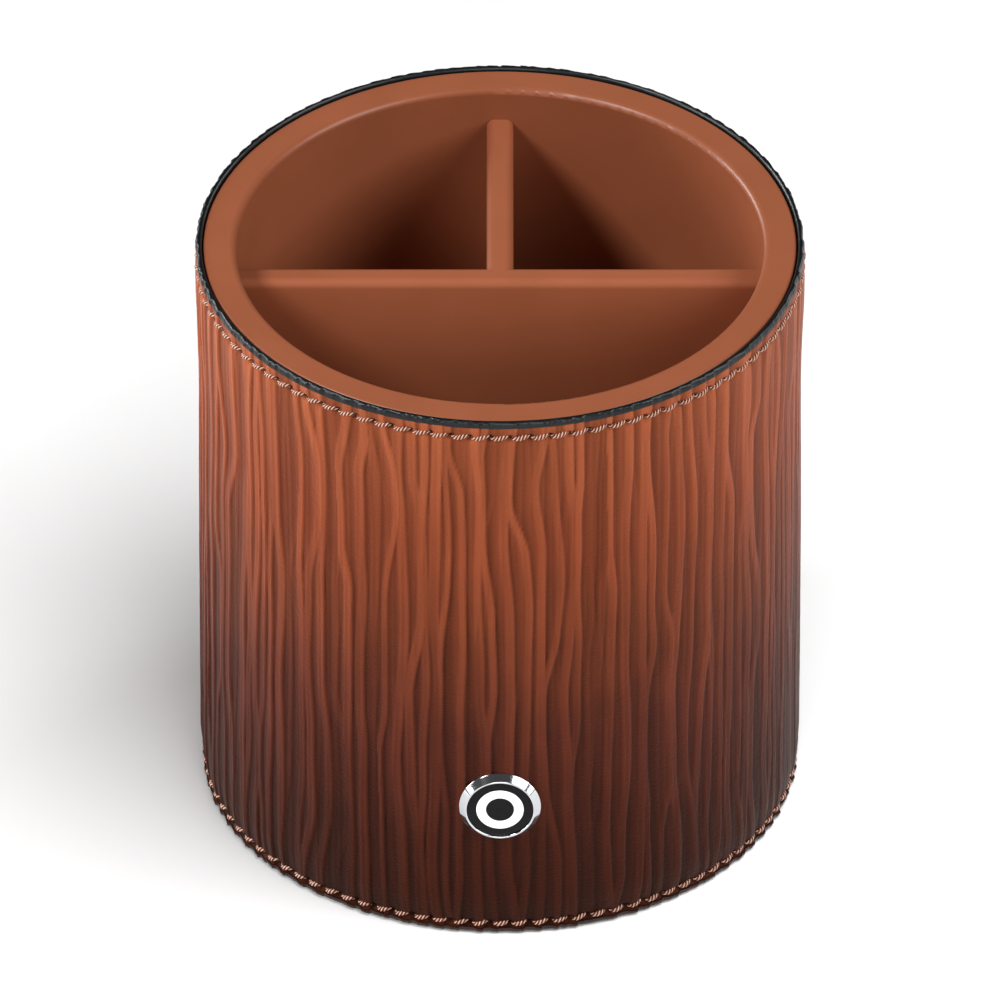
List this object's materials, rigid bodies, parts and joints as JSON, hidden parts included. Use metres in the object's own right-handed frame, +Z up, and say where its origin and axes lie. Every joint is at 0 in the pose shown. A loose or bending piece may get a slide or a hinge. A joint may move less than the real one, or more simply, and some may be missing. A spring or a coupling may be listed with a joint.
{
  "type": "pen holder cup",
  "caption": "Round pen cup: embossed leather sleeve stitched at both edges over a moulded liner with a T-shaped divider, and a small round emblem at the front.",
  "frame": {"origin": "centre of the round resting face, on the surface that the cup stands on", "axes": "+Z up along the cup's axis, -Y towards the front, which carries the emblem, +X to the right seen from the front"},
  "size_m": [0.0958, 0.0962, 0.1],
  "materials": {
    "embossed_leather": "brown calf leather, embossed in upright ridges, shaded from tan at the top to dark brown at the bottom, semi-gloss",
    "bonded_board": "bonded leather board, matt",
    "black_edge_paint": "black edge paint, satin, rounded",
    "brown_edge_paint": "dark brown edge paint, satin",
    "waxed_thread": "twisted waxed thread, glossy brown",
    "core_board": "wound board tube, matt grey",
    "base_fibreboard": "fibreboard, matt",
    "suede_pad": "dark brown suede-like pad, matt",
    "zinc_screw": "zinc-plated",
    "soft_touch_tan": "moulded plastic with a tan soft-touch coat, satin",
    "polished_bezel": "polished bright metal",
    "black_enamel": "glossy black",
    "white_enamel": "glossy white",
    "spring_steel": "bare spring steel"
  },
  "bodies": {
    "root": {"leather_sleeve": "embossed_leather", "sleeve_backing": "bonded_board", "top_edge_dressing": "black_edge_paint", "bottom_edge_dressing": "brown_edge_paint", "top_stitching": "waxed_thread", "bottom_stitching": "waxed_thread", "core_tube": "core_board", "base_board": "base_fibreboard", "base_pad": "suede_pad", "base_screws": "zinc_screw", "liner_cup": "soft_touch_tan", "divider": "soft_touch_tan", "emblem_bezel": "polished_bezel", "emblem_inlay": "black_enamel", "emblem_motif": "white_enamel", "emblem_clips": "spring_steel"}
  },
  "joints": []
}
